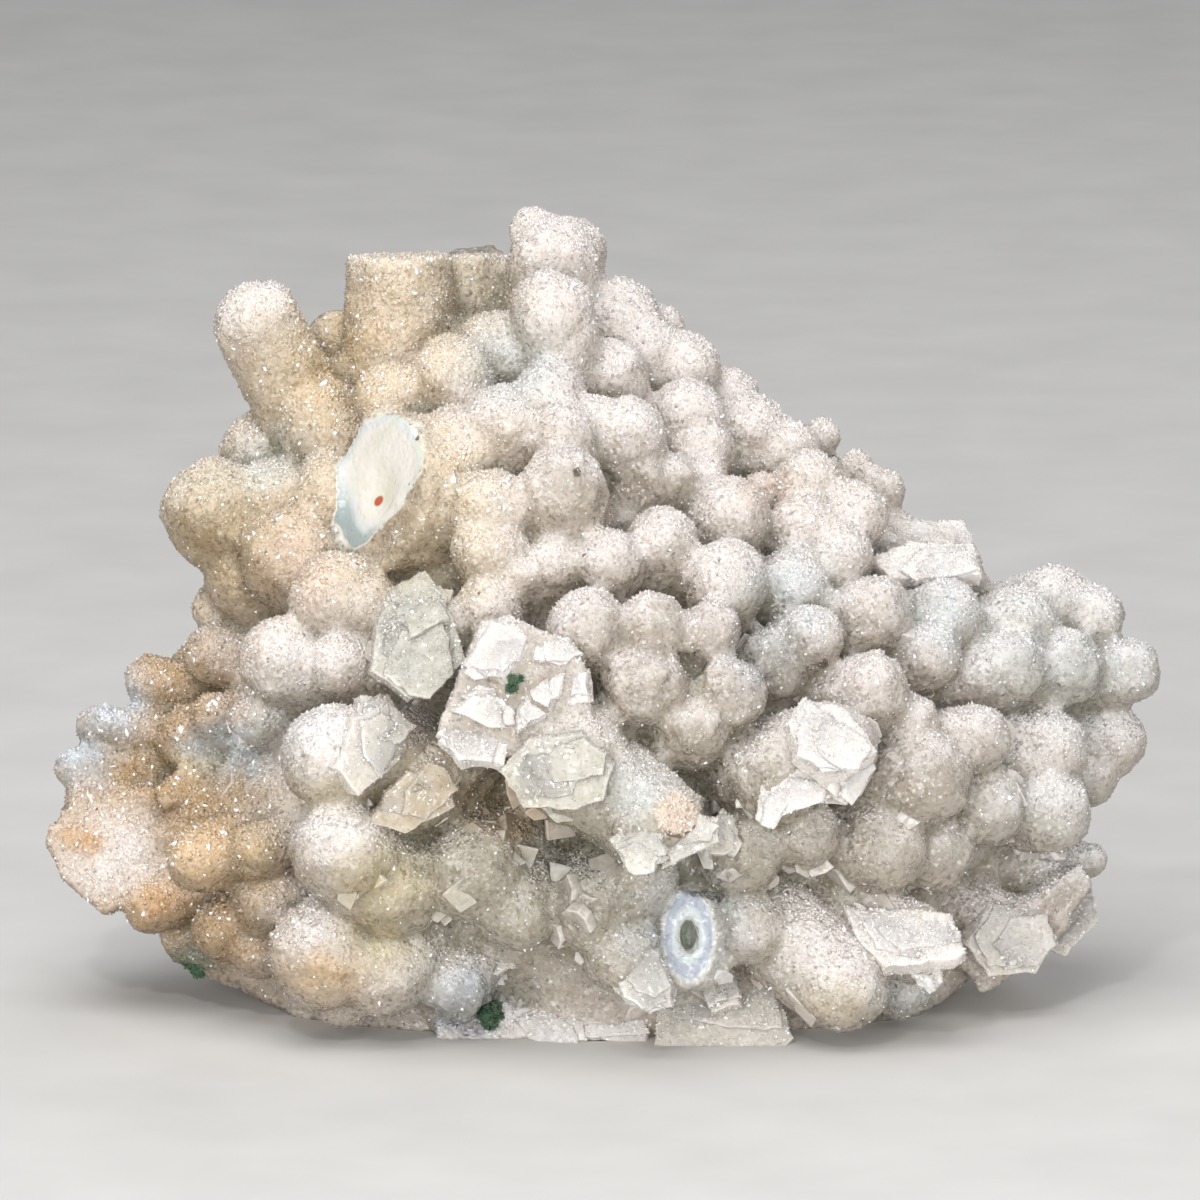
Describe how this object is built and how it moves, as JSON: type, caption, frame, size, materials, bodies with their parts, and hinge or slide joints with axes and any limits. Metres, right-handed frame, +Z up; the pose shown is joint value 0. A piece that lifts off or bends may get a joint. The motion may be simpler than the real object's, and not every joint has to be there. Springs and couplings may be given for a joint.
{
  "type": "chalcedony with stilbite specimen",
  "caption": "Mound of druse-coated chalcedony knobs and stalactites with plates of stilbite, cut flat to stand",
  "frame": {"origin": "on the flat sawn underside, near its middle", "axes": "+Z up, +X to the right and -Y out of the knobbly face, towards the viewer"},
  "size_m": [0.1109, 0.0605, 0.0778],
  "materials": {
    "chalcedony": "sugary quartz druse over milky chalcedony",
    "stilbite": "pearly, partly see-through",
    "celadonite": "earthy, matte"
  },
  "bodies": {
    "root": {"chalcedony": "chalcedony", "stilbite_wedge": "stilbite", "stilbite_skirt": "stilbite", "stilbite_beside_pale_patch": "stilbite", "stilbite_left_plates": "stilbite", "stilbite_brown_plates": "stilbite", "stilbite_platy_knob": "stilbite", "stilbite_sheaf": "stilbite", "stilbite_rim_blade": "stilbite", "stilbite_foot_prisms": "stilbite", "stilbite_tip_blades": "stilbite", "stilbite_right_blades": "stilbite", "celadonite_core": "celadonite", "celadonite_tuft": "celadonite", "celadonite_fleck": "celadonite"}
  },
  "joints": []
}
